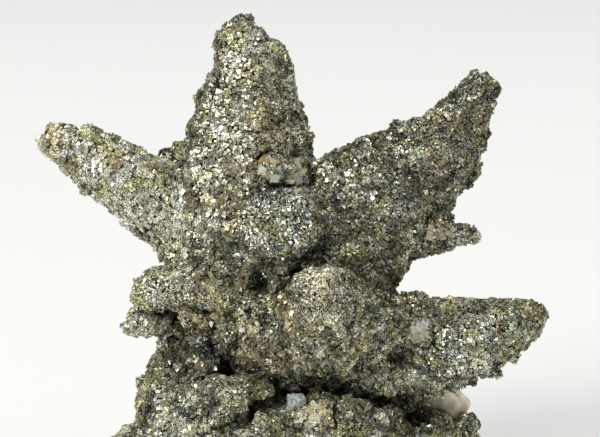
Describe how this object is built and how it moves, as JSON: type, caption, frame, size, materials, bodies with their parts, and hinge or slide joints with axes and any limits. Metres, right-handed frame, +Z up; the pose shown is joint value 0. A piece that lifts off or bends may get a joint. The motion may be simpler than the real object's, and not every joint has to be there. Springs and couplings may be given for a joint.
{
  "type": "pyrrhotite specimen",
  "caption": "Mineral specimen: steep blunt metallic crystals spraying out of a grainy body on a broken piece of ore, cut flat underneath so that it stands.",
  "frame": {"origin": "on the flat broken base, in the middle of the specimen's length and depth", "axes": "+X along the spread of the crystals, to the right in the picture; -Y towards the side that one crystal points out of; +Z up"},
  "size_m": [0.0638, 0.0344, 0.0621],
  "materials": {
    "pyrrhotite_crust": "metallic grey to brassy grains with a strong sparkle",
    "dark_ore": "dark broken ore, part metallic",
    "calcite": "cream, waxy",
    "galena": "bright grey metallic, striated",
    "carbonate": "cream to pinkish, satin",
    "brown_carbonate": "tan to brown, satin",
    "mauve_mineral": "greyish mauve, satin"
  },
  "bodies": {
    "root": {"pyrrhotite_cluster": "pyrrhotite_crust", "ore_matrix": "dark_ore", "calcite_crystal": "calcite", "galena_cube": "galena", "upper_carbonates": "carbonate", "side_carbonates": "carbonate", "lower_carbonates": "carbonate", "hollow_carbonates": "brown_carbonate", "brown_crystal": "brown_carbonate", "flat_crystal": "mauve_mineral"}
  },
  "joints": []
}
